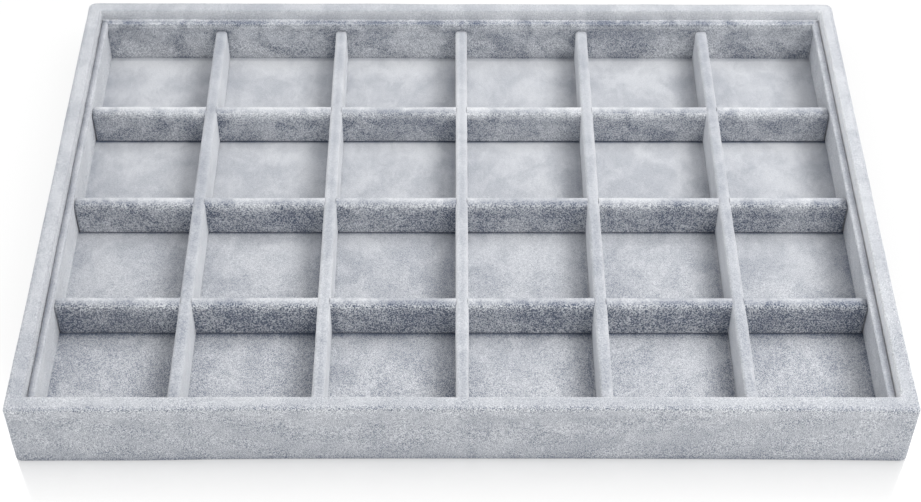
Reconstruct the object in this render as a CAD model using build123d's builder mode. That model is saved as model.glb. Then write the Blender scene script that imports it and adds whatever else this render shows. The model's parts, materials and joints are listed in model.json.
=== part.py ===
from build123d import *
import os

# A velvet display tray with a drop-in grid of compartments.
# Lengths are millimetres. X runs along the long side, Y to the back, Z up, from the middle of the underside.

# Outside of the tray, over the velvet
tray_length = 350.0
tray_depth = 240.0
tray_height = 32.0
corner_radius = 5.0
rim_radius = 1.8
hem_radius = 0.5

# Boards, cloth and linings of the tray
rail_board = 4.6
frame_pile = 0.9
base_board_thickness = 2.0
turn_in_width = 12.0
turn_in_pressed = 0.4
underside_cloth = 0.3
underside_margin = 2.5
underside_corner = 3.0
underside_fit = 0.2
lining_paper = 0.2
lining_fit = 0.3

# The insert and its liner
insert_gap = 0.3
insert_card = 0.5
floor_pile = 0.8
floor_fit = 0.1
liner_drop = 5.3
liner_card = 1.0
liner_card_edge = 0.3
liner_pile = 0.7
liner_back_pile = 0.3
liner_edge = 0.85
liner_turnover = 10.0

# The dividers and how they lap
columns = 6
rows = 4
divider_drop = 4.4
divider_board = 3.4
divider_board_edge = 1.5
divider_pile = 0.9
divider_edge = 2.4
divider_nose = 3.0
divider_fit = 0.1
slot_gap = 0.1

# How far a cut runs past what it cuts
overrun = 1.0

# Levels from the underside up
turn_in_bottom = underside_cloth
base_bottom = turn_in_bottom + turn_in_pressed
base_top = base_bottom + base_board_thickness
lining_top = base_top + lining_paper
card_top = lining_top + insert_card
floor_top = card_top + floor_pile
rail_top = tray_height - frame_pile
liner_top = tray_height - liner_drop
divider_top = liner_top - divider_drop
slot_level = (floor_top + divider_top) / 2

# Outlines from the outside in
board_length = tray_length - 2 * frame_pile
board_depth = tray_depth - 2 * frame_pile
opening_length = board_length - 2 * (rail_board + frame_pile)
opening_depth = board_depth - 2 * (rail_board + frame_pile)
insert_length = opening_length - 2 * insert_gap
insert_depth = opening_depth - 2 * insert_gap
liner_thickness = liner_back_pile + liner_card + liner_pile
inner_length = insert_length - 2 * liner_thickness
inner_depth = insert_depth - 2 * liner_thickness
turn_in_length = tray_length - 2 * turn_in_width
turn_in_depth = tray_depth - 2 * turn_in_width

# Where the dividers stand
divider_thickness = divider_board + 2 * divider_pile
column_pitch = (inner_length + divider_thickness) / columns
row_pitch = (inner_depth + divider_thickness) / rows
long_places = [(i - columns / 2) * column_pitch for i in range(1, columns)]
cross_places = [(i - rows / 2) * row_pitch for i in range(1, rows)]

sides = ("front", "back", "left", "right")

os.makedirs("parts", exist_ok=True)


def save(piece, node):
    """Names a finished piece and writes it."""
    piece.label = node
    export_step(piece, f"parts/{node}.step")


def ring(length, depth, wall, corner, bottom, top, edge):
    """An upright rectangular ring, rounded at its outer corners and along both top edges."""
    with BuildPart() as form:
        with BuildSketch(Plane.XY.offset(bottom)):
            if corner > 0:
                RectangleRounded(length, depth, corner)
            else:
                Rectangle(length, depth)
            Rectangle(length - 2 * wall, depth - 2 * wall, mode=Mode.SUBTRACT)
        extrude(amount=top - bottom)
        fillet(form.faces().sort_by(Axis.Z)[-1].edges(), edge)
    return form.part


def quarter(length, depth, wall, side, bottom, top):
    """The mitred quarter of a ring on one side, as a plain block to cut with."""
    x, y = length / 2, depth / 2
    corners = {
        "front": [(-x, -y), (x, -y), (x - wall, wall - y), (wall - x, wall - y)],
        "back": [(x, y), (-x, y), (wall - x, y - wall), (x - wall, y - wall)],
        "left": [(-x, y), (-x, -y), (wall - x, wall - y), (wall - x, y - wall)],
        "right": [(x, -y), (x, y), (x - wall, y - wall), (x - wall, wall - y)],
    }
    with BuildPart() as block:
        with BuildSketch(Plane.XY.offset(bottom)):
            with BuildLine():
                Polyline(corners[side], close=True)
            make_face()
        extrude(amount=top - bottom)
    return block.part


def bar(section, outline, run, thickness, top, edge, nose):
    """A bar that stands on the floor velvet, round along its top and at both upper ends."""
    middle = (floor_top + top) / 2
    height = top - floor_top
    with BuildPart() as form:
        with BuildSketch(section) as end_view:
            with Locations((0, middle)):
                Rectangle(thickness, height)
            fillet(end_view.vertices().group_by(Axis.Y)[-1], edge)
        extrude(amount=run / 2, both=True)
        with BuildSketch(outline) as side_view:
            with Locations((0, middle)):
                Rectangle(run, height)
            fillet(side_view.vertices().group_by(Axis.Y)[-1], nose)
        extrude(amount=thickness / 2, both=True, mode=Mode.INTERSECT)
    return form.part


def divider(kind, number, section, outline, run, cutter):
    """One divider: its slotted board, and the velvet sleeve over its sides, top and ends."""
    form = bar(section, outline, run, divider_thickness, divider_top, divider_edge, divider_nose)
    core = bar(
        section,
        outline,
        run - 2 * divider_pile,
        divider_board,
        divider_top - divider_pile,
        divider_board_edge,
        divider_nose - divider_pile,
    )
    with BuildPart() as board:
        add(core)
        add(cutter, mode=Mode.SUBTRACT)
    save(board.part, f"{kind}_divider_{number}")
    with BuildPart() as sleeve:
        add(form)
        add(core, mode=Mode.SUBTRACT)
        add(cutter, mode=Mode.SUBTRACT)
    save(sleeve.part, f"{kind}_divider_velvet_{number}")


def slots(places, width, depth, bottom, top):
    """Upright blocks at the crossings, to cut the slots of a divider with."""
    with BuildPart() as blocks:
        with BuildSketch(Plane.XY.offset(bottom)):
            with Locations(*places):
                Rectangle(width, depth)
        extrude(amount=top - bottom)
    return blocks.part


# Base board, flat under all four rails
with BuildPart() as base_board:
    with BuildSketch(Plane.XY.offset(base_bottom)):
        RectangleRounded(board_length, board_depth, corner_radius - frame_pile)
    extrude(amount=base_board_thickness)
save(base_board.part, "base_board")

# Four mitred rails on the base board
board_corner = corner_radius - frame_pile
rail_ring = ring(
    board_length, board_depth, rail_board, board_corner, base_top, rail_top, rim_radius - frame_pile
)
for side in sides:
    cutter = quarter(board_length, board_depth, rail_board, side, base_top, rail_top)
    with BuildPart() as rail:
        add(rail_ring)
        add(cutter, mode=Mode.INTERSECT)
    save(rail.part, f"{side}_rail")

# Velvet over the rails, down inside and turned in under the base board
with BuildPart() as frame_velvet:
    with BuildSketch(Plane.XY.offset(turn_in_bottom)):
        RectangleRounded(tray_length, tray_depth, corner_radius)
    extrude(amount=tray_height - turn_in_bottom)
    with BuildSketch(Plane.XY.offset(base_top)):
        Rectangle(opening_length, opening_depth)
    extrude(amount=tray_height - base_top + overrun, mode=Mode.SUBTRACT)
    fillet(frame_velvet.faces().sort_by(Axis.Z)[-1].edges(), rim_radius)
    fillet(frame_velvet.faces().sort_by(Axis.Z)[0].edges(), hem_radius)
    with BuildSketch(Plane.XY.offset(turn_in_bottom)):
        Rectangle(turn_in_length, turn_in_depth)
    extrude(amount=turn_in_pressed, mode=Mode.SUBTRACT)
    add(base_board.part, mode=Mode.SUBTRACT)
    add(rail_ring, mode=Mode.SUBTRACT)
save(frame_velvet.part, "frame_velvet")

# Backing cloth under the tray, thicker where it fills the space inside the turned-in velvet
with BuildPart() as underside_sheet:
    with BuildSketch():
        RectangleRounded(
            tray_length - 2 * underside_margin, tray_depth - 2 * underside_margin, underside_corner
        )
    extrude(amount=underside_cloth)
    with BuildSketch(Plane.XY.offset(underside_cloth)):
        Rectangle(turn_in_length - 2 * underside_fit, turn_in_depth - 2 * underside_fit)
    extrude(amount=turn_in_pressed)
save(underside_sheet.part, "underside_sheet")

# Lining paper on the base board, under the insert
with BuildPart() as floor_lining:
    with BuildSketch(Plane.XY.offset(base_top)):
        Rectangle(opening_length - 2 * lining_fit, opening_depth - 2 * lining_fit)
    extrude(amount=lining_paper)
save(floor_lining.part, "floor_lining")

# Card that carries the insert
with BuildPart() as insert_floor_card:
    with BuildSketch(Plane.XY.offset(lining_top)):
        Rectangle(insert_length, insert_depth)
    extrude(amount=insert_card)
save(insert_floor_card.part, "insert_floor_card")

# Velvet of the compartment floors
with BuildPart() as floor_velvet:
    with BuildSketch(Plane.XY.offset(card_top)):
        Rectangle(inner_length - 2 * floor_fit, inner_depth - 2 * floor_fit)
    extrude(amount=floor_pile)
save(floor_velvet.part, "floor_velvet")

# Liner, four card strips with velvet over the inner face and the top edge
card_length = insert_length - 2 * liner_back_pile
card_depth = insert_depth - 2 * liner_back_pile
card_ring = ring(
    card_length, card_depth, liner_card, 0, card_top, liner_top - liner_pile, liner_card_edge
)
liner_ring = ring(
    insert_length, insert_depth, liner_thickness, 0, card_top, liner_top, liner_edge
)
with BuildPart() as bare_back:
    with BuildSketch(Plane.XY.offset(card_top)):
        Rectangle(insert_length + overrun, insert_depth + overrun)
        Rectangle(card_length, card_depth, mode=Mode.SUBTRACT)
    extrude(amount=liner_top - liner_turnover - card_top)
for side in sides:
    cutter = quarter(insert_length, insert_depth, liner_thickness, side, card_top, liner_top)
    with BuildPart() as strip:
        add(card_ring)
        add(cutter, mode=Mode.INTERSECT)
    save(strip.part, f"liner_card_{side}")
    with BuildPart() as strip_velvet:
        add(liner_ring)
        add(cutter, mode=Mode.INTERSECT)
        add(card_ring, mode=Mode.SUBTRACT)
        add(bare_back.part, mode=Mode.SUBTRACT)
    save(strip_velvet.part, f"liner_velvet_{side}")

# Long dividers run front to back and lap over the cross dividers, so their slots open downwards
slot_width = divider_thickness + 2 * slot_gap
slot_through = divider_thickness + 2 * overrun
for number, x in enumerate(long_places, start=1):
    crossings = [(x, y) for y in cross_places]
    cutter = slots(crossings, slot_through, slot_width, floor_top, slot_level + slot_gap)
    section = Plane.XZ.shift_origin((x, 0, 0))
    divider("long", number, section, Plane.YZ.offset(x), inner_depth - 2 * divider_fit, cutter)

# Cross dividers run left to right under the long ones, so their slots open upwards
for number, y in enumerate(cross_places, start=1):
    crossings = [(x, y) for x in long_places]
    cutter = slots(crossings, slot_width, slot_through, slot_level, divider_top + overrun)
    section = Plane.YZ.shift_origin((0, y, 0))
    divider("cross", number, section, Plane.XZ.offset(-y), inner_length - 2 * divider_fit, cutter)

print("compartment", round(column_pitch - divider_thickness, 2), round(row_pitch - divider_thickness, 2))
print("levels", round(floor_top, 2), round(divider_top, 2), round(liner_top, 2))
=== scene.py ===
import json
import math

import bmesh
import bpy
from bpy.props import FloatProperty, FloatVectorProperty, PointerProperty
from bpy.types import Operator, Panel, PropertyGroup
from mathutils import Matrix, Vector, noise


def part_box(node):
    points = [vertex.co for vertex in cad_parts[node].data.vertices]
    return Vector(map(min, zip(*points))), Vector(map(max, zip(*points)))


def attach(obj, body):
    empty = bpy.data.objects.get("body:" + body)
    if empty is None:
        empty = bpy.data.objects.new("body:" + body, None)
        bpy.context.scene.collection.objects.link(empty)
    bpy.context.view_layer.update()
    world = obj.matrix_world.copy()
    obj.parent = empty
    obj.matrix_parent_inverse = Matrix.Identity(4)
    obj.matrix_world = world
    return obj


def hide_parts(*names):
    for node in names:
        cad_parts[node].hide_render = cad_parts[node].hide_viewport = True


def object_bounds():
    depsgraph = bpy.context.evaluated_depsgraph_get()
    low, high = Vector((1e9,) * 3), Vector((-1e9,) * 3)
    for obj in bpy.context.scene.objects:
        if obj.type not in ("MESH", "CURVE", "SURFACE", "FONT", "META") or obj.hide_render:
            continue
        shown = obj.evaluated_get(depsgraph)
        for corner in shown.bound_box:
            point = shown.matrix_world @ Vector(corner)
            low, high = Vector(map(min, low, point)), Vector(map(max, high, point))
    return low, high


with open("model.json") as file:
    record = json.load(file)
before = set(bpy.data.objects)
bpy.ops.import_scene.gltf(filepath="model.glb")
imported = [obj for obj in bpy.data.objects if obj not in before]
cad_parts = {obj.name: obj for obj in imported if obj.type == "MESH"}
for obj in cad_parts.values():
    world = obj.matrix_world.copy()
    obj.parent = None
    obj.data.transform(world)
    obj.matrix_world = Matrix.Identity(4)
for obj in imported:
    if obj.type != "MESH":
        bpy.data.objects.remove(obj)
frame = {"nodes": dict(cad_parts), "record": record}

bl_info = {
    "name": "Velvet compartment tray",
    "version": (1, 0, 0),
    "blender": (4, 5, 0),
    "location": "3D View > Sidebar > Tray",
    "description": "Velvet, boards and studio for a display tray with a drop-in grid of compartments",
    "category": "Object",
}

MM = 0.001
CAD_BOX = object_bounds()

# Lamps: their bearing round the tray from the front to the right and their height, both in degrees,
# their width and height in metres, their power and their colour
WARM = (1, 0.992, 0.977)
COOL = (0.88, 0.94, 1)
LAMPS = {
    "Overhead lamp": (0, 90, (0.6, 0.6), 1.6, WARM),
    "Right lamp": (60, 55, (0.6, 0.6), 7, WARM),
    "Back right lamp": (120, 55, (0.6, 0.6), 6.2, WARM),
    "Back left lamp": (240, 55, (0.6, 0.6), 2.6, WARM),
    "Low right lamp": (60, 20, (0.8, 0.3), 1.08, COOL),
    "Low left lamp": (300, 20, (0.8, 0.3), 2.15, COOL),
}
LAMP_DISTANCE = 1.2
WHITE = (1, 1, 1, 1)

# Light and shade painted into the velvet's colour. Each table gives how much lighter the velvet is painted
# than in the middle of its face, at places in millimetres.

# The frame: painted light and shade down its outer face from the rim, painted shade up it from the foot, how
# far the pile opens either side of the outer edge, and painted light and shade across each rim from outside
# and down each inner face from the rim
FACE_FROM_RIM = (
    (0, -0.05), (0.5, -0.07), (1.2, 0.02), (1.8, 0.13), (2.6, 0.13), (4, 0.08), (5.5, 0.01), (7.5, -0.01)
)
FACE_FROM_FOOT = ((0, -0.5), (0.7, -0.3), (1.4, -0.12), (2.4, -0.1), (5, -0.05), (12, 0))
EDGE_OPEN = ((0, 0.5), (1.6, 0))
RIM_ACROSS = {
    "front": ((1.6, -0.07), (3.4, -0.02), (5.3, 0.02)),
    "right": ((1.6, -0.02), (5.3, 0.01)),
    "back": ((1.6, 0), (5.3, -0.03)),
    "left": ((1.6, 0), (5.3, 0)),
}
INNER_FACE = {
    "front": ((0, 0), (1.6, 0.3)),
    "right": ((0, 0.08), (0.6, 0.42), (1.2, 0.88)),
    "back": ((0, 0), (0.6, 0.16), (1.1, 0.48), (1.8, 0.62), (2.4, 0.5), (3, 0.36), (3.8, 0.26), (5.2, 0.2)),
    "left": ((0, 0), (1.1, 0.02), (1.8, 0.2), (3.6, 0.2), (4.6, 0.1), (5.3, -0.05)),
}

# Along each rim from one end, -1, to the other, 1, going round the tray from its front left corner
RIM_ALONG = {
    "front": ((-1, -0.04), (-0.85, 0.03), (-0.5, 0.03), (0, -0.03), (0.5, 0), (0.9, 0), (1, -0.03)),
    "right": ((-1, -0.03), (-0.5, 0), (0.2, 0.04), (0.7, 0.09), (1, 0.09)),
    "back": ((-1, 0.09), (-0.6, 0.03), (0, 0), (0.6, -0.02), (1, 0)),
    "left": ((-1, 0.03), (0, 0), (0.45, 0.04), (0.8, -0.06), (1, -0.12)),
}

# The liner: painted light and shade over its fold from the rail inwards and down its face from the top,
# painted shade up from its foot, deeper at the back, and how far the pile opens there
FOLD_OVER = {
    "front": ((0, 0), (1, 0)),
    "right": ((0, -0.06), (1.5, -0.1), (3, -0.02)),
    "back": ((0, 0.13), (0.5, 0.2), (1.1, -0.04), (1.8, -0.3), (2.6, -0.34), (3.4, -0.05)),
    "left": ((0, -0.15), (0.4, -0.28), (0.9, -0.3), (1.5, -0.12), (2, 0)),
}
LINER_FACE = {
    "front": ((0, 0), (20, 0)),
    "right": ((0.8, 0.04), (8, 0.05), (20, 0.1)),
    "back": ((0.8, 0.2), (2, 0.2), (3, 0.04), (5, -0.04)),
    "left": ((0.8, 0.02), (3, 0.08), (8, 0.12), (20, 0.13)),
}
LINER_FOOT = ((0, -0.15), (0.6, 0))
BACK_FOOT = ((0, -0.3), (1.2, 0))
BACK_OPEN = 0.35

# The cross dividers: painted light and shade over the top from the back to the front and down the face from
# the top, how far the pile opens there, painted shade up from the foot, and how light each one's face and top
# are painted, from the front one to the back one
CROSS_TOP = (
    (-2.6, -0.08), (-1.7, -0.03), (-1.2, 0.05), (-0.7, 0.1), (-0.2, 0.05), (0.3, -0.04), (0.9, -0.12),
    (1.4, -0.16), (1.9, -0.1), (2.28, 0.04), (2.46, 0.08), (2.6, 0.08),
)
CROSS_FACE = ((2.4, 0.08), (3.4, 0.03), (4.7, -0.1), (6.7, -0.15), (9, -0.09), (18, -0.05))
CROSS_OPEN = ((0, 0.1), (0.3, 0.25), (0.7, 0.35), (2.4, 0.25), (4, 0.1), (7, 0))
CROSS_FOOT = ((0, -0.45), (0.48, -0.35), (0.8, 0))
CROSS_LIGHT = (-0.06, 0.01, 0.06)
CROSS_TOP_LIGHT = (0, 0.06, 0.13)

# The long dividers: painted light and shade over the top from the left to the right, painted shade up each
# face from the foot, how light the faces are painted, how light each one's top is, how much lighter its left
# edge and how this fades over the top, and how far it stands to the right of its even spacing
LONG_TOP = ((-2.6, 0.06), (-1.1, -0.02), (0, -0.03), (1.1, 0.02), (2, 0.08), (2.6, 0.09))
LONG_FOOT_LEFT = ((0, -0.5), (1, -0.45), (2, -0.2), (4.5, -0.05), (6, 0))
LONG_FOOT_RIGHT = ((0, -0.35), (0.8, -0.25), (1.4, 0))
LONG_FACE_LEFT, LONG_FACE_RIGHT = 0.06, 0.09
LONG_LIGHT = (-0.07, 0, 0.02, -0.02, -0.04)
LONG_EDGE = (0.05, 0.2, 0.24, 0.04, 0.03)
LONG_EDGE_FADE = ((-2.6, 1), (-1.3, 0.5), (-0.6, 0))
LONG_SHIFTS = (0.1, 0.15, 0.25, 0.4, 0.5)

# The floor: painted shade forwards from the foot of the back liner and of each cross divider, back to front,
# how much painted light lies before each, painted shadow leftwards from whatever stands to the right, and
# painted shade rightwards from the left liner
FLOOR_BEFORE = (
    ((0, -0.05), (0.6, 0.05), (1.2, 0.1)),
    ((0, -0.6), (0.35, -0.5), (0.75, -0.05)),
    ((0, -0.45), (0.4, -0.3), (0.8, -0.05)),
    ((0, -0.6), (0.5, -0.45), (1.2, -0.2), (2.2, -0.08)),
)
FLOOR_PAINTED_LIGHT = (0.32, 0.17, 0.09, 0.05)
FLOOR_BESIDE = ((0, -0.35), (1.2, -0.22), (3, -0.09), (6, -0.04), (12, 0))
FLOOR_LEFT = ((0, -0.1), (3, -0.06), (6, 0))

# Painted shade on a wall that faces the front, darker towards the corner with whatever stands beside it
WALL_CORNER = ((0, -0.12), (3, -0.06), (8, 0))

# How each liner's fold lies beside its rail, in millimetres: how much wider than the gap the groove is,
# how much lower the fold is there, its radius there, and how far it leans inwards
FOLDS = {
    "front": (0.1, 0.4, 0.9, 1.1),
    "right": (0, 0.4, 0.9, 1.5),
    "back": (-0.3, 0, 0.3, 1.1),
    "left": (-0.2, 0.3, 1.6, 1.1),
}

# The velvet of each kind of piece: how light it is and how much lighter it is painted where it lies level,
# its speckle, the pile's own with painted shade between the tufts, on faces that stand and on those that lie,
# how far it is brushed light and dark, the side towards which it is painted lighter, the size of its tufts,
# and how far the speckle fades to the back, where the pile is brushed smooth
SKINS = {
    "Frame velvet": (0.66, -0.06, 1, 0.6, 0.18, (0, 0.08, 0), 0.6, 0.5),
    "Liner velvet": (0.68, -0.1, 0.55, 0.3, 0.2, (-0.03, 0.06, 0), 0.8, 0),
    "Back liner velvet": (0.68, -0.1, 0.58, 0.3, 0.5, (-0.03, 0.06, 0), 0.8, 0),
    "Floor velvet": (0.62, 0, 0.9, 0.9, 0.22, (0, 0, 0), 0.62, 0.82),
    "Long divider velvet": (0.73, -0.21, 0.3, 0.3, 0.18, (0, 0.02, 0), 1, 0.7),
    "Cross divider velvet": (0.48, 0.03, 1.38, 0.3, 0.4, (0, 0, 0), 1, 0.42),
}
VELVET_FINISH = {
    "Roughness": 0.95, "Specular IOR Level": 0.15, "Sheen Weight": 0.55, "Sheen Roughness": 0.45,
    "Sheen Tint": (0.95, 0.97, 1, 1),
}

UP = Vector((0, 0, 1))

# Each side's outward direction and the way round the tray, seen from above
OUTWARDS = {"front": (0, -1, 0), "right": (1, 0, 0), "back": (0, 1, 0), "left": (-1, 0, 0)}
SIDES = {side: (Vector(out), UP.cross(Vector(out))) for side, out in OUTWARDS.items()}
DIVIDERS = {"long": 5, "cross": 3}

SLOT_VELVET = "grey_velvet"
DARKEST = -0.08
LIGHTEST = 1.5

# The frame's velvet: where along its front the foot bulges and how widely, how much more it draws in on the
# right, how its back slants, and how its outer edge rounds down, to the back, to the right, down and inwards
BULGE_AT, BULGE_WIDE = -0.72, 0.16
DRAWN_MORE = 0.55
BACK_SLANT = 0.5
DROP_ALONG = ((-20, 0), (110, 1))
DROP_MIDDLE, DROP_RIGHT = 0.65, 0.6
DROP_DOWN = ((0, 1), (8, 0))
DROP_IN = ((0, 1), (4, 0))

# How freely the cloth wanders: the frame's near its lower edge, and the liner's at its strips' ends
HEM_STILL, HEM_HIGH = 0.15, 1.5 * MM
STRIP_END = ((-1.5, 0), (3.5, 1))

# Sizes that a user wouldn't change: the gap round the insert, how far the frame's velvet is turned in and
# where it hangs lowest, how far under the liner's top it starts to lean and its velvet ends behind, how close
# the next point stands to an edge, how a sleeve's ends are squeezed shut, how far apart the points are where
# the pitch is finer, the least radius of a corner, the gap where sleeves lap, their slots' spare width, and
# the thickness of the floor's cloth
INSERT_GAP = 0.3 * MM
TURN_IN = 12 * MM
HANGS_FROM, HANGS_TO = 2.2 * MM, 1.7 * MM
LEANS_BELOW = 7.5 * MM
TURNOVER = 10 * MM
BESIDE = 0.15 * MM
SQUEEZES = (0.6, 0.25, 0)
HEM_PITCH, RIM_PITCH, FOLD_PITCH, SLEEVE_PITCH = 0.5 * MM, 0.8 * MM, 0.6 * MM, 1.6 * MM
SHARPEST = 0.2 * MM
LAP_GAP = 0.1 * MM
LAP_SPARE = {"long": 0.1 * MM, "cross": -0.25 * MM}
FLOOR_CLOTH = 0.5 * MM

# The unevenness of a cloth: which of its two sizes each layer takes, how much of it, and how far apart its
# lumps are
RUFFLES = (("wave", 1, 26 * MM), ("pucker", 1, 6.5 * MM), ("pucker", 0.6, 2.6 * MM))
SEED_STEPS = (0.731, 0.417, 0.253)

# The camera: its focal length and sensor in millimetres, its place, and its yaw, pitch and roll in radians
LENS, SENSOR = 70.715, 36
CAMERA_PLACE = (-2.951 * MM, -539.52 * MM, 581.74 * MM)
CAMERA_TURN = (0.0051156, 0.8317126, 0.0042225)


def length(size, name, description, low=0):
    """A size that a user may change, given in millimetres and kept in metres."""
    return FloatProperty(
        name=name, description=description, default=size * MM, min=low * MM, max=1, precision=5,
        subtype="DISTANCE", unit="LENGTH",
    )


def share(default, name, description, high=1):
    """A share or strength from nothing up."""
    return FloatProperty(
        name=name, description=description, default=default, min=0, max=high, subtype="FACTOR"
    )


def colour(default, name, description):
    """A linear colour."""
    return FloatVectorProperty(
        name=name, description=description, default=default, min=0, max=1, size=3, subtype="COLOR"
    )


class TrayShape(PropertyGroup):
    """Sizes of the soft velvet pieces."""

    weave_pitch: length(1.9, "Mesh pitch", "Distance between the points of a cloth", 0.5)
    cloth: length(0.55, "Cloth", "Thickness of the velvet round the boards", 0.1)
    corner: length(1.6, "Tray corner", "Radius of the upright corners at the rim")
    corner_back: length(3, "Back corner", "Radius of the upright corners at the back rim")
    corner_foot: length(3.4, "Corner foot", "Radius of the upright corners at the underside")
    flare: length(0.8, "Corner flare", "How far the folded velvet stands out before the front corners")
    side_flare: length(0.25, "Side flare", "How far it stands out at the sides of the front corners")
    splay: length(0.55, "Splay", "How far the faces stand out at the foot")
    hollow: length(0.35, "Hollow", "How far the faces draw in between the corners")
    inner_corner: length(1, "Opening corner", "Radius of the opening's corners over the velvet")
    rim_out: length(1.6, "Rim, outside", "How far the velvet rounds over the rail's outer edge")
    rim_in: length(1.1, "Rim, inside", "How far the velvet rounds over the rail's inner edge")
    hem: length(0.6, "Lower edge", "Radius where the velvet turns in under the tray")
    sag: length(0.26, "Sag", "How far the velvet's lower edge hangs below the turned-in cloth")
    liner_edge: length(0.8, "Liner edge", "Radius of the fold along the liner's inner edge")
    foot: length(0.4, "Liner foot", "How far the liner's foot stands nearer to the rail")
    crown: length(1.5, "Divider crown", "Radius of the velvet over a divider's top")
    cross_crown: length(2.4, "Cross divider crown", "Radius of the velvet over a cross divider's top")
    back_drop: length(0.5, "Back rim", "How far the rim's outer edge rounds down at the back")
    bulge: length(0.45, "Bulge", "How far the front face's foot bulges on the left")
    nose: length(1.7, "Divider nose", "Rounding at a divider's upper ends")
    end: length(0.9, "Divider end", "Rounding down a divider's ends")
    tuck: length(0.8, "Divider tuck", "Radius of the velvet's lower edge on a divider")
    wave: length(0.16, "Wave", "How far the cloth wanders over a few centimetres")
    pucker: length(0.07, "Pucker", "How far the cloth wanders over a few millimetres")


class VelvetLook(PropertyGroup):
    """Colours and pile of the velvet."""

    pile: colour((0.663, 0.676, 0.702), "Pile", "The velvet where its pile lies smooth")
    deep: colour((0.121, 0.142, 0.192), "Between the pile", "The velvet where one looks into its pile")
    tuft: length(0.55, "Tuft", "Size of the pile's speckle", 0.1)
    patch: length(17, "Patch", "Size of the brushed patches", 1)
    relief: length(0.35, "Relief", "Depth of the pile's relief")


class BoardLook(PropertyGroup):
    """Colours of the boards, cards, paper and backing."""

    fibreboard: colour((0.36, 0.235, 0.13), "Fibreboard", "Sawn fibreboard of the rails and dividers")
    greyboard: colour((0.235, 0.245, 0.265), "Greyboard", "Card of the base, the liner and the insert")
    paper: colour((0.62, 0.62, 0.61), "Lining paper", "Paper that lines the tray under the insert")
    backing: colour((0.060, 0.065, 0.075), "Backing cloth", "Non-woven cloth under the tray")


class StudioLook(PropertyGroup):
    """Floor and lamps."""

    floor: colour((0.86, 0.86, 0.86), "Floor", "Colour that the floor throws back on the tray")
    shade: share(0.06, "Shadow", "How much of the tray's shadow the floor shows")
    mirror: share(0.34, "Mirror", "How much of the tray the floor mirrors beside it")
    reach: length(34, "Mirror reach", "How far from the tray the mirror image fades out")
    contact: share(0.35, "Contact shadow", "How much more of its shadow the floor shows beside the tray")
    sky: share(0.47, "Sky", "Strength of the even light all round", 5)
    lamps: share(1, "Lamps", "Strength of all lamps together", 10)


# Cloth


def stations(keys, pitch):
    """Places from the first key to the last through each of them, about a pitch apart."""
    places = [keys[0]]
    for start, stop in zip(keys, keys[1:]):
        count = max(1, round(abs(stop - start) / pitch))
        places += [start + (stop - start) * i / count for i in range(1, count + 1)]
    return places


def bend(centre, wide, high, start, stop, steps):
    """Places round a quarter of an ellipse, from one angle to another in degrees."""
    points = []
    for i in range(steps + 1):
        angle = math.radians(start + (stop - start) * i / steps)
        points.append((centre[0] + wide * math.cos(angle), centre[1] + high * math.sin(angle)))
    return points


def straight(start, stop, pitch, both=False):
    """Places between two others, with these themselves only if asked."""
    span = Vector(stop) - Vector(start)
    count = max(1, round(span.length / pitch))
    steps = range(0 if both else 1, count + 1 if both else count)
    return [(start[0] + span.x * i / count, start[1] + span.y * i / count) for i in steps]


def between(value, keys):
    """What belongs to a value on the line through the keys."""
    for (start, low), (stop, high) in zip(keys, keys[1:]):
        if value < stop:
            return low + (high - low) * max(0, (value - start) / (stop - start))
    return keys[-1][1]


def shade(place, keys):
    """What a table in millimetres says of a place in metres."""
    return between(place / MM, keys)


def line_length(points):
    """How long the line through the points is."""
    return sum((Vector(b[:2]) - Vector(a[:2])).length for a, b in zip(points, points[1:]))


def smooth_rise(rise):
    """From nothing to one, level at both ends."""
    return rise * rise * (3 - 2 * rise)


def sleeve_boxes(kind):
    """The CAD boxes of one kind of divider's sleeves, in order."""
    return [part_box(f"{kind}_divider_velvet_{n + 1}") for n in range(DIVIDERS[kind])]


def spread(along, across, place, paint, cut=None):
    """A grid of cloth whose points stand where place says, without the squares that cut picks out.

    What paint says of a point is how much lighter it is painted there, in painted light and shade, and how
    far the pile opens.
    """
    cloth = bmesh.new()
    bmesh.ops.create_grid(cloth, x_segments=len(along) - 1, y_segments=len(across) - 1, size=0.5)
    cloth.verts.ensure_lookup_table()
    lighter = cloth.verts.layers.float.new("lighter")
    opened = cloth.verts.layers.float.new("opened")
    spots = {}
    for number, vert in enumerate(cloth.verts):
        row, column = divmod(number, len(along))
        vert.co = place(along[column], across[row])
        vert[lighter], vert[opened] = paint(along[column], across[row])
        spots[vert] = (column, row)
    if cut:
        gone = []
        for face in cloth.faces:
            column, row = map(min, zip(*(spots[vert] for vert in face.verts)))
            if cut(along[column], along[column + 1], across[row], across[row + 1]):
                gone.append(face)
        bmesh.ops.delete(cloth, geom=gone, context="FACES")
    bmesh.ops.remove_doubles(cloth, verts=cloth.verts, dist=0.001 * MM)
    cloth.normal_update()
    return cloth


def ruffle(cloth, shape, seed, still=None):
    """Moves the points of a cloth a little along their normals, in waves and puckers."""
    moves = []
    for vert in cloth.verts:
        spot = vert.co + Vector([seed * step for step in SEED_STEPS])
        amount = sum(part * getattr(shape, kind) * noise.noise(spot / size) for kind, part, size in RUFFLES)
        if still:
            amount *= still(vert.co)
        moves.append((vert, vert.normal * amount))
    for vert, move in moves:
        vert.co += move
    cloth.normal_update()


def add_piece(context, name, shape, material):
    """Makes a bmesh an object of the scene with its material."""
    mesh = bpy.data.meshes.new(name)
    shape.to_mesh(mesh)
    shape.free()
    mesh.materials.append(material)
    piece = bpy.data.objects.new(name, mesh)
    context.scene.collection.objects.link(piece)
    return piece


def finish_cloth(context, name, cloth, thickness, material):
    """Makes the cloth a smooth piece with a thickness and its velvet."""
    piece = add_piece(context, name, cloth, material)
    for polygon in piece.data.polygons:
        polygon.use_smooth = True
    solid = piece.modifiers.new("Thickness", "SOLIDIFY")
    solid.thickness = thickness
    solid.offset = -1
    return piece


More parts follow.
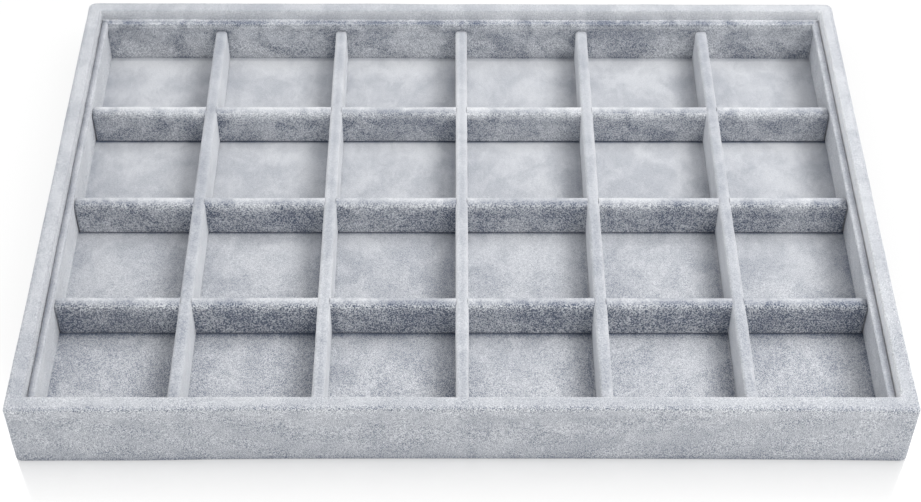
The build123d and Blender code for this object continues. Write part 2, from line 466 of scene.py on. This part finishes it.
def declare(piece, node, body):
    """Puts the velvet piece on the body that moves it and hides the CAD part that it stands for."""
    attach(piece, body)
    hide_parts(node)


# Materials


def feed(tree, socket, value):
    """Gives an input a value, or the output of another node."""
    if hasattr(value, "is_output"):
        tree.links.new(value, socket)
    else:
        socket.default_value = value


def add_node(tree, kind, inputs=(), **settings):
    """The outputs of a new node, made with its settings and with what goes into its inputs."""
    node = tree.nodes.new(kind)
    for name, value in settings.items():
        setattr(node, name, value)
    for label, value in dict(inputs).items():
        feed(tree, node.inputs[label], value)
    return node.outputs


def sums(tree, operation, *values):
    """One sum on numbers or sockets, and its result."""
    return add_node(tree, "ShaderNodeMath", enumerate(values), operation=operation)[0]


def weigh(tree, first, first_part, second, second_part):
    """Two values added up, each by its own part."""
    first = sums(tree, "MULTIPLY", first, first_part)
    return sums(tree, "ADD", first, sums(tree, "MULTIPLY", second, second_part))


def axes(tree, vector):
    """The X, Y and Z of a vector."""
    return add_node(tree, "ShaderNodeSeparateXYZ", {0: vector})


def painted(tree, name):
    """What the cloth's own attribute of that name says."""
    return add_node(tree, "ShaderNodeAttribute", attribute_name=name)["Fac"]


def spread_range(tree, value, low, high, to_low=0, to_high=1):
    """Stretches a value between two levels smoothly to another range."""
    inputs = {"Value": value, "From Min": low, "From Max": high, "To Min": to_low, "To Max": to_high}
    return add_node(tree, "ShaderNodeMapRange", inputs, interpolation_type="SMOOTHSTEP")["Result"]


def cloudy(tree, position, size, detail=2, roughness=0.5, distortion=0, stretch=None):
    """Noise whose lumps are about a size across."""
    if stretch:
        position = add_node(tree, "ShaderNodeMapping", {"Vector": position, "Scale": stretch})["Vector"]
    scale = 1 / size if isinstance(size, float) else sums(tree, "DIVIDE", 1, size)
    inputs = {"Vector": position, "Scale": scale, "Detail": detail, "Roughness": roughness}
    return add_node(tree, "ShaderNodeTexNoise", {**inputs, "Distortion": distortion})["Fac"]


def pile_group(group, given):
    """Speckle of a short pile: tufts that stand light and gaps that lie dark."""
    coarse = cloudy(group, given["Position"], given["Tuft"], 1, 0.6)
    wide = cloudy(group, given["Position"], sums(group, "MULTIPLY", given["Tuft"], 2.7), 1, 0.5)
    both = weigh(group, coarse, 0.8, wide, 0.2)
    return {"Tufts": spread_range(group, both, 0.32, 0.68), "Height": both}


def nap_group(group, given):
    """Brushed patches: where the pile was stroked one way or the other."""
    broad = cloudy(group, given["Position"], given["Patch"], 2, 0.55, 0.6)
    streak = sums(group, "MULTIPLY", given["Patch"], 0.28)
    small = cloudy(group, given["Position"], streak, 3, 0.6, 1.2, (1, 0.6, 1))
    return {"Lie": spread_range(group, weigh(group, broad, 0.66, small, 0.34), 0.36, 0.64)}


def facing_light_group(group, given):
    """Painted light by facing: lighter on the faces turned towards the lit side, and which faces lie level.
    """
    normal = add_node(group, "ShaderNodeNewGeometry")["Normal"]
    inputs = {0: normal, 1: given["Lean"]}
    along = add_node(group, "ShaderNodeVectorMath", inputs, operation="DOT_PRODUCT")["Value"]
    upward = sums(group, "ABSOLUTE", axes(group, normal)["Z"])
    return {"Lightness": along, "Level": spread_range(group, upward, 0.35, 0.95)}


def fleck_group(group, given):
    """Short fibres and specks pressed into a board or paper."""
    stretches = ((1, 0.22, 1), (0.22, 1, 1))
    one, two = [cloudy(group, given["Position"], given["Fibre"], 3, 0.65, 0.8, way) for way in stretches]
    both = sums(group, "MAXIMUM", one, two)
    return {"Flecks": spread_range(group, both, 0.52, 0.72), "Height": both}


# What makes each shared group, and what it takes besides a position
GROUPS = {
    "Pile speckle": (pile_group, "Tuft", "NodeSocketFloat"),
    "Brushed nap": (nap_group, "Patch", "NodeSocketFloat"),
    "Facing light": (facing_light_group, "Lean", "NodeSocketVector"),
    "Pressed fibres": (fleck_group, "Fibre", "NodeSocketFloat"),
}


def shared_group(name):
    """A node group, built the first time that it is asked for."""
    if name in bpy.data.node_groups:
        return bpy.data.node_groups[name]
    make, *given = GROUPS[name]
    group = bpy.data.node_groups.new(name, "ShaderNodeTree")
    for label, kind in (("Position", "NodeSocketVector"), given):
        group.interface.new_socket(name=label, in_out="INPUT", socket_type=kind)
    results = make(group, add_node(group, "NodeGroupInput"))
    for label in results:
        group.interface.new_socket(name=label, in_out="OUTPUT", socket_type="NodeSocketFloat")
    add_node(group, "NodeGroupOutput", results)
    return group


def place_group(tree, name, position, **values):
    """The outputs of a shared group, placed with its own values."""
    return add_node(tree, "ShaderNodeGroup", {"Position": position, **values}, node_tree=shared_group(name))


def new_material(name):
    """A material with its node tree, its Principled shader and object coordinates."""
    material = bpy.data.materials.new(name)
    material.use_nodes = True
    tree = material.node_tree
    return material, tree, tree.nodes["Principled BSDF"], add_node(tree, "ShaderNodeTexCoord")["Object"]


def blend_colours(tree, amount, *colours, within=True):
    """One colour to the other by an amount, and past them unless it stays within."""
    first, second = [value if hasattr(value, "is_output") else (*value, 1) for value in colours]
    inputs = {0: amount, 6: first, 7: second}
    return add_node(tree, "ShaderNodeMix", inputs, data_type="RGBA", clamp_factor=within)[2]


def add_relief(tree, shader, height, strength, distance):
    """A bump on the shader."""
    inputs = {"Height": height, "Strength": strength, "Distance": distance}
    feed(tree, shader.inputs["Normal"], add_node(tree, "ShaderNodeBump", inputs)["Normal"])


def velvet(context, name):
    """The grey velvet of one kind of piece, as the table of skins has it."""
    look = context.scene.tray_velvet
    lift, top, upright, level, patches, lit_side, tuft, calm = SKINS[name]
    low, high = CAD_BOX
    material, tree, shader, position = new_material(name)
    pile = place_group(tree, "Pile speckle", position, Tuft=look.tuft * tuft)
    nap = place_group(tree, "Brushed nap", position, Patch=look.patch)
    # Painted light and shade by facing: lighter on faces turned towards the lit side
    facing = place_group(tree, "Facing light", position, Lean=lit_side)
    calmed = spread_range(tree, axes(tree, position)["Y"], 0.9 * low.y, 0.5 * high.y, 1, 1 - calm)
    speckle = sums(tree, "MULTIPLY_ADD", facing["Level"], level - upright, upright)
    speckle = sums(tree, "MULTIPLY", sums(tree, "ADD", speckle, painted(tree, "opened")), calmed)
    grain = sums(tree, "MULTIPLY", sums(tree, "SUBTRACT", pile["Tufts"], 0.5), speckle)
    brushed = sums(tree, "MULTIPLY", sums(tree, "SUBTRACT", nap["Lie"], 0.5), patches)
    tone = sums(tree, "ADD", sums(tree, "ADD", grain, brushed), lift)
    tone = sums(tree, "ADD", tone, facing["Lightness"])
    # Painted light and shade on faces that lie level, then the light and shade painted on the cloth's points
    tone = sums(tree, "MULTIPLY_ADD", facing["Level"], top, tone)
    tone = sums(tree, "ADD", tone, painted(tree, "lighter"))
    tone = sums(tree, "MINIMUM", sums(tree, "MAXIMUM", tone, DARKEST), LIGHTEST)
    feed(tree, shader.inputs["Base Color"], blend_colours(tree, tone, look.deep, look.pile, within=False))
    for label, value in VELVET_FINISH.items():
        shader.inputs[label].default_value = value
    add_relief(tree, shader, pile["Height"], 0.8, look.relief)
    return material


def board(name, base, fibre, contrast, roughness):
    """Board, card or paper with pressed fibres and specks."""
    material, tree, shader, position = new_material(name)
    flecks = place_group(tree, "Pressed fibres", position, Fibre=fibre)
    mottle = cloudy(tree, position, 14 * MM)
    dark = [channel * (1 - contrast) for channel in base]
    light = [min(1, channel * (1 + 0.6 * contrast)) for channel in base]
    toned = blend_colours(tree, flecks["Flecks"], base, light)
    speck = spread_range(tree, cloudy(tree, position, 0.5 * fibre, 1), 0.66, 0.74)
    toned = blend_colours(tree, sums(tree, "MULTIPLY", speck, 0.8), toned, dark)
    toned = blend_colours(tree, spread_range(tree, mottle, 0.35, 0.65, 0, 0.25), toned, dark)
    feed(tree, shader.inputs["Base Color"], toned)
    shader.inputs["Roughness"].default_value = roughness
    shader.inputs["Specular IOR Level"].default_value = 0.3
    add_relief(tree, shader, flecks["Height"], 0.4, 0.08 * MM)
    return material


# Pieces


class TRAY_OT_frame_velvet(Operator):
    """Wraps the velvet over the four rails, down inside them and in under the base board"""

    bl_idname = "tray.frame_velvet"
    bl_label = "Frame velvet"

    def execute(self, context):
        shape = context.scene.tray_shape
        low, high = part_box("frame_velvet")
        board_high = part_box("base_board")[1]
        wall = high.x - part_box("insert_floor_card")[1].x - INSERT_GAP

        def corner(side, way, depth, level):
            """The radius of the upright corners, from the outer face to the inner one."""
            rise = (level - low.z) / (high.z - low.z)
            back = {"front": 0, "right": 0.5 + 0.5 * way, "back": 1, "left": 0.5 - 0.5 * way}[side]
            rim = shape.corner + (shape.corner_back - shape.corner) * back
            outer = shape.corner_foot + (rim - shape.corner_foot) * rise
            inwards = min(depth / wall, 1.5)
            return max(outer + (shape.inner_corner - outer) * inwards, SHARPEST)

        def proud(spot, depth):
            """How far the outer face stands off its straight line."""
            across = spot.x / high.x
            along = spot.y / high.y
            fade = max(0, 1 - depth / wall)
            front = max(0, -along) ** 3
            back = max(0, along) ** 3
            ends = abs(across) ** 2.5
            drawn = shape.hollow * (1 + DRAWN_MORE * (1 if across > 0 else max(0, along)))
            shift_y = -front * ((shape.flare + shape.hollow) * ends - shape.hollow)
            shift_y -= back * shape.hollow * (1 + BACK_SLANT * across)
            shift_x = across * ends * (shape.side_flare * front - drawn * (1 - front))
            down = 1 - (spot.z - low.z) / (high.z - low.z)
            bulge = shape.bulge * math.exp(-(((across - BULGE_AT) / BULGE_WIDE) ** 2))
            shift_y -= (shape.splay + bulge) * down * front
            shift_x += shape.splay * down * across * ends
            return Vector((shift_x, shift_y, 0)) * fade

        def drop(spot, depth, level):
            """How far the rim's outer edge rounds down, towards the back and the right."""
            towards = shade(spot.y, DROP_ALONG) * (DROP_MIDDLE + DROP_RIGHT * spot.x / high.x)
            return shape.back_drop * towards * shade(high.z - level, DROP_DOWN) * shade(depth, DROP_IN) ** 2

        bottom = low.z - shape.sag
        profile = straight((TURN_IN, low.z), (HANGS_FROM, low.z), 2 * shape.weave_pitch, both=True)
        profile.append((HANGS_TO, bottom))
        profile += straight((HANGS_TO, bottom), (shape.hem, bottom), HEM_PITCH)
        hem_centre = (shape.hem, bottom + shape.hem)
        profile += bend(hem_centre, shape.hem, shape.hem, 270, 180, 3)
        rim_level = high.z - shape.rim_out
        profile += straight((0, hem_centre[1]), (0, rim_level), shape.weave_pitch)
        profile += bend((shape.rim_out, rim_level), shape.rim_out, shape.rim_out, 180, 90, 7)
        inside = wall - shape.rim_in
        profile += straight((shape.rim_out, high.z), (inside, high.z), RIM_PITCH)
        profile += bend((inside, high.z - shape.rim_in), shape.rim_in, shape.rim_in, 90, 0, 6)
        inner_edge = (wall, high.z - shape.rim_in)
        profile += straight(inner_edge, (wall, board_high.z), shape.weave_pitch, both=True)[1:]
        around = []
        for side, (out, run) in SIDES.items():
            reach = abs(run.dot(high))
            count = round(2 * reach / shape.weave_pitch)
            around += [(side, -1 + 2 * i / count, 0) for i in range(count + 1)]
            around += [(side, 1, math.radians(90 * i / 8)) for i in range(1, 8)]
        around.append(around[0])

        def paint(station, point):
            """Painted light and shade on the outer face, the rim and the inner face, and how far the pile
            opens.
            """
            side, way, turn = station
            depth, level = point
            below = high.z - level
            along = between(way, RIM_ALONG[side])
            if depth > wall - shape.rim_in:
                return shade(below, INNER_FACE[side]) + along, 0
            if depth > shape.rim_out:
                return shade(depth, RIM_ACROSS[side]) + along, 0
            opened = shade(abs(below - 0.5 * shape.rim_out), EDGE_OPEN)
            return shade(below, FACE_FROM_RIM) + shade(level, FACE_FROM_FOOT), opened

        def place(station, point):
            """Where a point of the section stands at a station round the tray."""
            side, way, turn = station
            out, run = SIDES[side]
            depth, level = point
            round_off = corner(side, way, depth, level)
            core_out = abs(out.dot(high)) - depth - round_off
            core_run = abs(run.dot(high)) - depth - round_off
            spot = out * (core_out + round_off * math.cos(turn)) + UP * level
            spot += run * (way * core_run + round_off * math.sin(turn))
            return spot + proud(spot, depth) - UP * drop(spot, depth, level)

        cloth = spread(around, profile, place, paint)
        ruffle(cloth, shape, 1, lambda spot: HEM_STILL if spot.z < HEM_HIGH else 1)
        skin = velvet(context, "Frame velvet")
        piece = finish_cloth(context, "velvet_over_frame", cloth, shape.cloth, skin)
        flat = (line_length(profile), 4 * (high.x + high.y) - 8 * wall)
        declare(piece, "frame_velvet", "tray")
        return {"FINISHED"}


class TRAY_OT_liner_velvet(Operator):
    """Folds a strip of velvet over each of the four liner cards"""

    bl_idname = "tray.liner_velvet"
    bl_label = "Liner velvet"

    def execute(self, context):
        shape = context.scene.tray_shape
        low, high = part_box("liner_velvet_right")
        floor_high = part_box("floor_velvet")[1].z
        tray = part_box("frame_velvet")[1]
        offset = tray.x - high.x
        side_skin = velvet(context, "Liner velvet")
        back_skin = velvet(context, "Back liner velvet")
        boxes = sleeve_boxes("long")
        divider_high = boxes[0][1].z
        for number, (side, (out, run)) in enumerate(SIDES.items()):
            groove, slope, back_edge, leaning = (value * MM for value in FOLDS[side])
            back = (offset + groove, slope, back_edge, leaning)
            face = offset + high.x - low.x
            profile = self.fold(shape, back, face, low.z, high.z)
            out_half = abs(out.dot(tray))
            run_half = abs(run.dot(tray))
            ways = stations([-1, -0.999, -0.985, 0.985, 0.999, 1], shape.weave_pitch / run_half)
            limit = run_half - face

            def place(way, point):
                """Where a point of the section stands along the strip, mitred at its ends."""
                depth, level = point
                return out * (out_half - depth) - run * way * (run_half - depth) + UP * level

            def paint(way, point):
                """Painted light and shade over the fold and down the face, with painted shade at the foot and
                in the back's corners.
                """
                depth, level = point
                if depth < offset + groove + 0.05 * MM:
                    return shade(0, FOLD_OVER[side]), 0
                if high.z - level < 2 * shape.liner_edge:
                    return shade(depth - offset - groove, FOLD_OVER[side]), BACK_OPEN if side == "back" else 0
                tone = shade(high.z - level, LINER_FACE[side])
                if side != "back":
                    return tone + shade(level - floor_high, LINER_FOOT), 0
                tone += shade(level - floor_high, BACK_FOOT)
                if level < divider_high:
                    across = way * (run_half - depth)
                    beside = [max(left.x - across, across - right.x) for left, right in boxes]
                    corner = min(max(0, min(beside)), limit - abs(across))
                    tone += shade(max(0, corner), WALL_CORNER)
                return tone, BACK_OPEN

            cloth = spread(ways, profile, place, paint)

            def still(spot):
                """Quiet at the strip's ends, where it meets the next one."""
                return shade(limit - abs(spot.dot(run)), STRIP_END)

            ruffle(cloth, shape, 11 + number, still)
            name = f"velvet_over_liner_{side}"
            skin = back_skin if side == "back" else side_skin
            piece = finish_cloth(context, name, cloth, shape.cloth, skin)
            flat = (2 * (run_half - offset - groove), line_length(profile))
            declare(piece, f"liner_velvet_{side}", "insert")
        return {"FINISHED"}

    def fold(self, shape, behind, face, bottom, top):
        """The velvet's way up a card's inner face, over its top and down its back."""
        back, slope, back_edge, leaning = behind
        lean_from = top - LEANS_BELOW
        edge = shape.liner_edge
        tip = face + leaning
        foot = face - shape.foot
        fold_level = top - edge
        profile = [(foot, bottom), (foot, bottom + 2 * BESIDE)]
        profile += straight(profile[-1], (face, lean_from), shape.weave_pitch) + [(face, lean_from)]
        for i in range(1, 6):
            rise = i / 5
            profile.append((face + leaning * smooth_rise(rise), lean_from + (fold_level - lean_from) * rise))
        profile += bend((tip - edge, fold_level), edge, edge, 0, 90, 5)[1:]
        shoulder = (back + back_edge, top - slope)
        profile += straight((tip - edge, top), shoulder, FOLD_PITCH)
        below = shoulder[1] - back_edge
        profile += bend((back + back_edge, below), -back_edge, back_edge, 90, 0, 4)
        return profile + straight((back, below), (back, top - TURNOVER), shape.weave_pitch, both=True)[1:]


class TRAY_OT_floor_velvet(Operator):
    """Lays the velvet on the floor of the compartments"""

    bl_idname = "tray.floor_velvet"
    bl_label = "Floor velvet"

    def execute(self, context):
        shape = context.scene.tray_shape
        low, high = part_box("floor_velvet")
        spare = shape.foot + BESIDE
        walls = [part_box("liner_velvet_back")[0].y]
        walls += [box[0].y for box in reversed(sleeve_boxes("cross"))]

        def through(start, stop, keys):
            """Places through the keys, with one close to either edge."""
            keys = sorted([start, start + 0.8 * BESIDE, *keys, stop - 0.8 * BESIDE, stop])
            return stations([key for key in keys if key <= stop], shape.weave_pitch)

        keys = []
        for wall, before in zip(walls, FLOOR_BEFORE):
            keys += [wall + 1.2 * MM, wall + 0.9 * MM, wall - (before[-1][0] + 1) * MM]
            keys += [wall - place * MM for place, tone in before]
        across = [(y, high.z) for y in through(low.y - spare, high.y + spare, keys)]
        beside = [box[0].x + shift * MM for box, shift in zip(sleeve_boxes("long"), LONG_SHIFTS)]
        beside.append(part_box("liner_velvet_right")[0].x)
        keys = [wall - place * MM for wall in beside for place in (-0.2, 1.2, 3)]
        along = through(low.x - spare, high.x + spare, keys)
        # Painted light and shade along the floor from its front to its back
        painted_light_along = ((low.y, -0.1), (-30 * MM, -0.09), (10 * MM, -0.03), (60 * MM, 0), (high.y, -0.01))

        def paint(x, point):
            """Painted shade at the foot of the walls before it and beside it, and painted light in between.
            """
            y = point[0]
            tone = between(y, painted_light_along)
            for wall, before, strength in zip(walls, FLOOR_BEFORE, FLOOR_PAINTED_LIGHT):
                if y < wall + 1 * MM:
                    ahead = max(0, wall - y)
                    tone += shade(ahead, (*before, (before[-1][0] + 1, strength), (15, 0)))
            nearest = min((wall - x for wall in beside if wall > x), default=0)
            tone += shade(nearest, FLOOR_BESIDE) * between(y, ((low.y, 1), (high.y, 0.5)))
            tone += shade(x - low.x, FLOOR_LEFT)
            return tone, 0

        cloth = spread(along, across, lambda x, point: Vector((x, *point)), paint)
        ruffle(cloth, shape, 31)
        for vert in cloth.verts:
            vert.co.z = min(vert.co.z, high.z) - 0.02 * MM
        skin = velvet(context, "Floor velvet")
        piece = finish_cloth(context, "velvet_on_floor", cloth, FLOOR_CLOTH, skin)
        declare(piece, "floor_velvet", "insert")
        return {"FINISHED"}


class TRAY_OT_divider_velvet(Operator):
    """Pulls a velvet sleeve over each divider, open where the dividers lap"""

    bl_idname = "tray.divider_velvet"
    bl_label = "Divider velvet"

    def execute(self, context):
        long_skin = velvet(context, "Long divider velvet")
        cross_skin = velvet(context, "Cross divider velvet")
        long_boxes, cross_boxes = sleeve_boxes("long"), sleeve_boxes("cross")
        for (low, high), shift in zip(long_boxes, LONG_SHIFTS):
            low.x += shift * MM
            high.x += shift * MM
        long_places = [(low.x + high.x) / 2 for low, high in long_boxes]
        cross_places = [(low.y + high.y) / 2 for low, high in cross_boxes]
        for number, box in enumerate(long_boxes, start=1):
            self.sleeve(context, "long", number, box, Vector((0, 1, 0)), cross_places, long_skin)
        for number, box in enumerate(cross_boxes, start=1):
            self.sleeve(context, "cross", number, box, Vector((1, 0, 0)), long_places, cross_skin)
        return {"FINISHED"}

    def sleeve(self, context, kind, number, box, run, crossings, skin):
        """One sleeve along run, open below at the crossings if it is long and above if not."""
        shape = context.scene.tray_shape
        low, high = box
        side = run.cross(UP)
        middle = (low + high) / 2
        centre = side * middle.dot(side) + run * middle.dot(run)
        half = abs(side.dot(high - low)) / 2
        reach = abs(run.dot(high - low)) / 2
        slot_half = half + LAP_SPARE[kind]
        laps = (low.z + high.z) / 2
        under = kind == "long"
        slot_level = laps + LAP_GAP if under else laps
        tuck = shape.tuck
        crown = min(shape.crown if under else shape.cross_crown, half)

        rising = bend((half - tuck, low.z + tuck), tuck, tuck, -90, 0, 3)
        rising.append((half, low.z + tuck + 0.4 * MM))
        rising += straight(rising[-1], (half, slot_level), SLEEVE_PITCH)
        rising.append((half, slot_level))
        rising += straight((half, slot_level), (half, high.z - crown), SLEEVE_PITCH)
        rising += bend((half - crown, high.z - crown), crown, crown, 0, 90, 8)
        falling = [(-a, z) for a, z in reversed(rising)]
        section = rising + [(0, high.z)] + falling

        start = reach - shape.nose
        keys = [-start]
        for place_at in sorted(crossings):
            before, after = place_at - slot_half, place_at + slot_half
            keys += [before - BESIDE, before, after, after + BESIDE]
        keys.append(start)
        body = [(x, 0, 1) for x in stations(keys, shape.weave_pitch)]
        right = [(start, math.radians(90 * i / 5), 1) for i in range(1, 6)]
        right += [(start, math.radians(90), squeeze) for squeeze in SQUEEZES]
        left = [(-x, turn, squeeze) for x, turn, squeeze in reversed(right)]
        along = left + body + right

        def place(station, point):
            """Where a point of the section stands along the sleeve, rounded and closed at its ends."""
            x, turn, squeeze = station
            sideways, level = point
            top = between(level, ((high.z - 2 * crown, 0), (high.z, 1)))
            nose = shape.end + (shape.nose - shape.end) * smooth_rise(top)
            if turn > 0:
                x = math.copysign(reach - nose * (1 - math.sin(turn)), x)
                sideways *= 1 - shape.end / half * (1 - math.cos(turn))
                level = low.z + (level - low.z) * (1 - shape.nose / (high.z - low.z) * (1 - math.cos(turn)))
            return centre + run * x + side * sideways * squeeze + UP * level

        def cut(here, there, lower, upper):
            """Whether a square of the cloth lies where the other dividers pass."""
            x = (here[0] + there[0]) / 2
            inside = any(abs(x - place_at) < slot_half for place_at in crossings)
            level = (lower[1] + upper[1]) / 2
            return inside and (level < slot_level) == under

        def paint(station, point):
            """Painted light and shade over the top and down the faces, with painted shade at the foot."""
            sideways, level = point
            below = high.z - level
            up = level - low.z
            if under:
                edge = LONG_EDGE[number - 1] * shade(sideways, LONG_EDGE_FADE)
                if below < crown:
                    return shade(sideways, LONG_TOP) + LONG_LIGHT[number - 1] + edge, 0
                if sideways > 0:
                    return LONG_FACE_RIGHT + shade(up, LONG_FOOT_RIGHT), 0
                edge *= between(below, ((crown, 1), (4 * MM, 0)))
                return LONG_FACE_LEFT + shade(up, LONG_FOOT_LEFT) + edge, 0
            opened = shade(below, CROSS_OPEN)
            top_light = CROSS_TOP_LIGHT[number - 1]
            if below < crown:
                return shade(sideways, CROSS_TOP) + top_light, opened if sideways > 0 else 0
            x = station[0]
            beside = [abs(x - place_at) - half for place_at in crossings] + [reach - abs(x)]
            tone = shade(max(0, min(beside)), WALL_CORNER) + CROSS_LIGHT[number - 1]
            tone += shade(below, CROSS_FACE) + top_light * between(below, ((crown, 1), (5 * MM, 0)))
            return tone + shade(up, CROSS_FOOT), opened

        cloth = spread(along, section, place, paint, cut)
        ruffle(cloth, shape, 41 + number * 2 + (0 if under else 20))
        name = f"velvet_over_{kind}_divider_{number}"
        piece = finish_cloth(context, name, cloth, shape.cloth, skin)
        flat = (2 * reach + 2 * half, line_length(section))
        declare(piece, f"{kind}_divider_velvet_{number}", "insert")


class TRAY_OT_boards(Operator):
    """Gives the boards, cards, lining paper and backing cloth their finish"""

    bl_idname = "tray.boards"
    bl_label = "Boards and papers"

    def execute(self, context):
        look = context.scene.tray_boards
        finishes = {
            "fibreboard": board("Fibreboard", look.fibreboard, 1.1 * MM, 0.45, 0.85),
            "greyboard": board("Greyboard", look.greyboard, 1.6 * MM, 0.35, 0.9),
            "lining_paper": board("Lining paper", look.paper, 1 * MM, 0.12, 0.8),
            "backing_cloth": board("Backing cloth", look.backing, 2.2 * MM, 0.5, 0.95),
        }
        for part in frame["record"]["subparts"]:
            slot = part["material_slot"]
            if slot != SLOT_VELVET:
                for holder in frame["nodes"][part["node"]].material_slots:
                    holder.material = finishes[slot]
        return {"FINISHED"}


# Studio


class TRAY_OT_studio(Operator):
    """Sets the white floor, the soft lamps and the camera"""

    bl_idname = "tray.studio"
    bl_label = "Studio"

    def execute(self, context):
        look = context.scene.tray_studio
        self.floor(context, look)
        self.sky(context, look)
        for name, (bearing, rise, size, power, tint) in LAMPS.items():
            self.lamp(context, name, bearing, rise, size, power * look.lamps, tint)
        self.camera(context)
        context.scene.view_settings.view_transform = "Standard"
        return {"FINISHED"}

    def floor(self, context, look):
        """White to the eye, with a faint mirror image and shadow beside the tray."""
        ground = bmesh.new()
        bmesh.ops.create_grid(ground, x_segments=1, y_segments=1, size=4)
        material = bpy.data.materials.new("Studio floor")
        material.use_nodes = True
        tree = material.node_tree
        tree.nodes.clear()
        matte = add_node(tree, "ShaderNodeBsdfDiffuse", {"Color": (*look.floor, 1)})[0]
        glow = add_node(tree, "ShaderNodeEmission", {"Color": WHITE})[0]
        gloss = add_node(tree, "ShaderNodeBsdfGlossy", {"Roughness": 0.12})[0]
        position = axes(tree, add_node(tree, "ShaderNodeTexCoord")["Object"])
        beyond = []
        for axis, edge in zip("XY", CAD_BOX[1]):
            outside = sums(tree, "SUBTRACT", sums(tree, "ABSOLUTE", position[axis]), edge)
            beyond.append(sums(tree, "MAXIMUM", outside, 0))
        x, y = beyond
        squared = sums(tree, "MULTIPLY_ADD", x, x, sums(tree, "MULTIPLY", y, y))
        away = sums(tree, "DIVIDE", sums(tree, "SQRT", squared), look.reach)
        near = sums(tree, "MAXIMUM", sums(tree, "SUBTRACT", 1, away), 0)
        mirror = sums(tree, "MULTIPLY", sums(tree, "POWER", near, 2), look.mirror)
        beside = sums(tree, "MULTIPLY", sums(tree, "POWER", near, 9), look.contact)
        shown = self.mix(tree, sums(tree, "ADD", beside, look.shade), glow, matte)
        mirrored = self.mix(tree, mirror, shown, gloss)
        final = self.mix(tree, self.seen(tree), matte, mirrored)
        add_node(tree, "ShaderNodeOutputMaterial", {"Surface": final})
        add_piece(context, "studio_floor", ground, material)

    def mix(self, tree, *inputs):
        """One shader to the other by an amount."""
        return add_node(tree, "ShaderNodeMixShader", enumerate(inputs))[0]

    def seen(self, tree):
        """One for what the camera, a mirror or glass sees, and nothing for the light on the tray."""
        path = add_node(tree, "ShaderNodeLightPath")
        seen = sums(tree, "MAXIMUM", path["Is Camera Ray"], path["Is Glossy Ray"])
        return sums(tree, "MAXIMUM", seen, path["Is Transmission Ray"])

    def sky(self, context, look):
        """An even white all round, weaker on the tray than to the eye."""
        world = bpy.data.worlds.new("Studio sky")
        world.use_nodes = True
        tree = world.node_tree
        back = tree.nodes["Background"].inputs
        back["Color"].default_value = WHITE
        strength = sums(tree, "MULTIPLY", self.seen(tree), 1 - look.sky)
        feed(tree, back["Strength"], sums(tree, "ADD", strength, look.sky))
        context.scene.world = world

    def put(self, context, name, data, place, turn):
        """Adds a lamp or camera at its place, turned as said."""
        holder = bpy.data.objects.new(name, data)
        holder.matrix_world = Matrix.Translation(place) @ turn.to_4x4()
        context.scene.collection.objects.link(holder)
        return holder

    def lamp(self, context, name, bearing, rise, size, power, tint):
        """A soft lamp that points at the tray."""
        light = bpy.data.lights.new(name, "AREA")
        light.shape = "RECTANGLE"
        light.size, light.size_y = size
        light.energy = power
        light.color = tint
        round_tray, up = math.radians(bearing), math.radians(rise)
        level = LAMP_DISTANCE * math.cos(up)
        place = (level * math.sin(round_tray), -level * math.cos(round_tray), LAMP_DISTANCE * math.sin(up))
        aim = Vector((0, 0, 0.02)) - Vector(place)
        self.put(context, name, light, place, aim.to_track_quat("-Z", "Y").to_matrix())

    def camera(self, context):
        """Looks at the tray from the photograph's place."""
        lens = bpy.data.cameras.new("Camera")
        lens.lens = LENS
        lens.sensor_width = SENSOR
        lens.sensor_fit = "HORIZONTAL"
        lens.clip_start = 0.01
        yaw, pitch, roll = CAMERA_TURN
        turn = Matrix.Rotation(-yaw, 3, "Z") @ Matrix.Rotation(math.pi / 2 - pitch, 3, "X")
        turn @= Matrix.Rotation(roll, 3, "Z")
        context.scene.camera = self.put(context, "Camera", lens, CAMERA_PLACE, turn)


OPERATORS = (
    TRAY_OT_boards,
    TRAY_OT_floor_velvet,
    TRAY_OT_divider_velvet,
    TRAY_OT_liner_velvet,
    TRAY_OT_frame_velvet,
    TRAY_OT_studio,
)


class TRAY_PT_panel(Panel):
    """Lists the pieces and their sizes and colours"""

    bl_idname = "TRAY_PT_panel"
    bl_label = "Velvet tray"
    bl_space_type = "VIEW_3D"
    bl_region_type = "UI"
    bl_category = "Tray"

    def draw(self, context):
        for operator in OPERATORS:
            self.layout.operator(operator.bl_idname)
        for label, group in SETTINGS.items():
            holder = getattr(context.scene, label)
            box = self.layout.box()
            for name in group.__annotations__:
                box.prop(holder, name)


SETTINGS = {
    "tray_shape": TrayShape,
    "tray_velvet": VelvetLook,
    "tray_boards": BoardLook,
    "tray_studio": StudioLook,
}


def register():
    for label, group in SETTINGS.items():
        bpy.utils.register_class(group)
        setattr(bpy.types.Scene, label, PointerProperty(type=group))
    for kind in (*OPERATORS, TRAY_PT_panel):
        bpy.utils.register_class(kind)


def unregister():
    for kind in reversed((*OPERATORS, TRAY_PT_panel)):
        bpy.utils.unregister_class(kind)
    for label, group in SETTINGS.items():
        delattr(bpy.types.Scene, label)
        bpy.utils.unregister_class(group)


def main():
    register()
    bpy.ops.tray.boards()
    bpy.ops.tray.floor_velvet()
    bpy.ops.tray.divider_velvet()
    bpy.ops.tray.liner_velvet()
    bpy.ops.tray.frame_velvet()
    bpy.ops.tray.studio()


if __name__ == "__main__":
    main()
